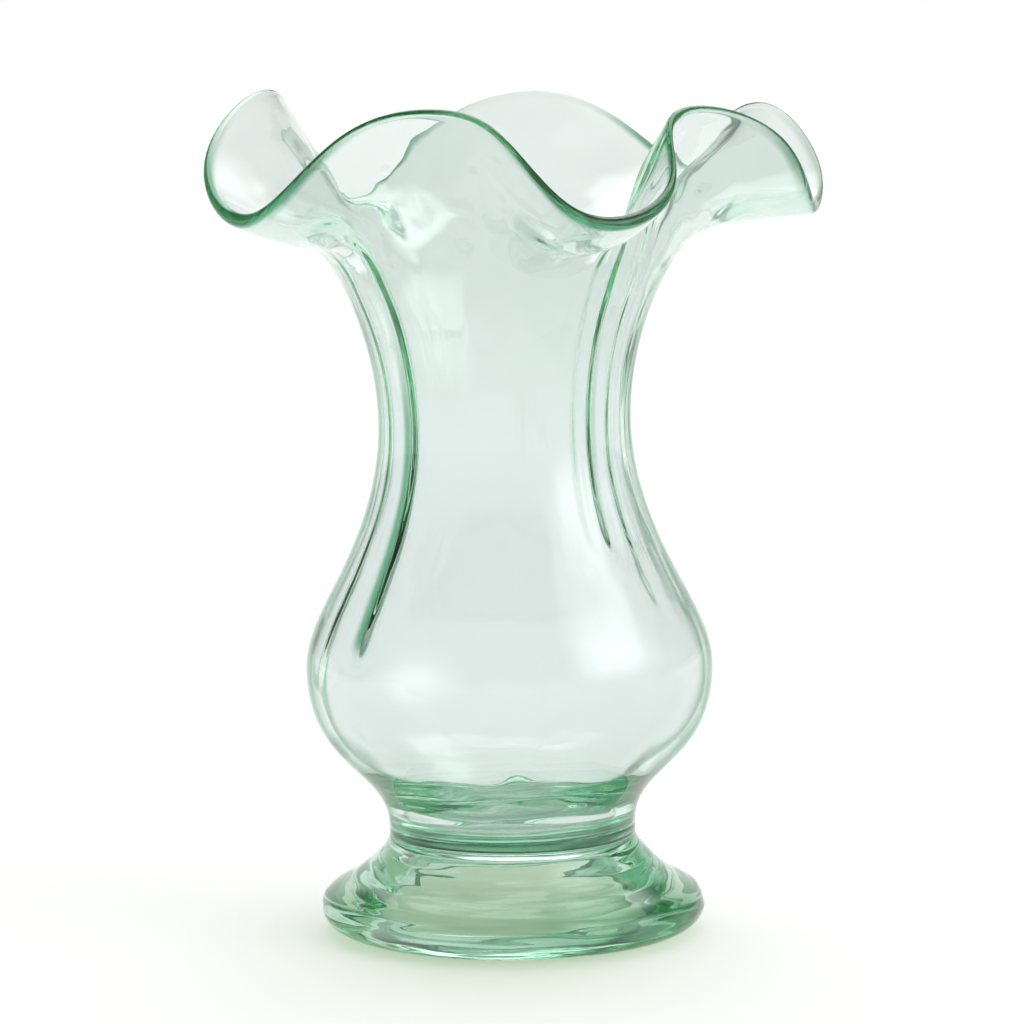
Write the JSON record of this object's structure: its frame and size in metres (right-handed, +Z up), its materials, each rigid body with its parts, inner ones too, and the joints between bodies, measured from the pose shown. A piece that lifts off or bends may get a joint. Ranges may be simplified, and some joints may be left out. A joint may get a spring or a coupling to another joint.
{
  "type": "ruffled glass vase",
  "caption": "Footed vase of pale green blown glass with a wide hand-ruffled lip, narrow neck, round belly and hollow foot with a thick rolled rim, for cut flowers.",
  "frame": {"origin": "centre of the ring that the foot stands on", "axes": "+Z up the axis of the foot, -Y towards the front, +X to the right of someone who looks at the front"},
  "size_m": [0.1778, 0.1755, 0.2428],
  "materials": {
    "green_glass": "clear, fire polished, pale sea green"
  },
  "bodies": {
    "root": {"bowl": "green_glass", "merese": "green_glass", "foot": "green_glass"}
  },
  "joints": []
}
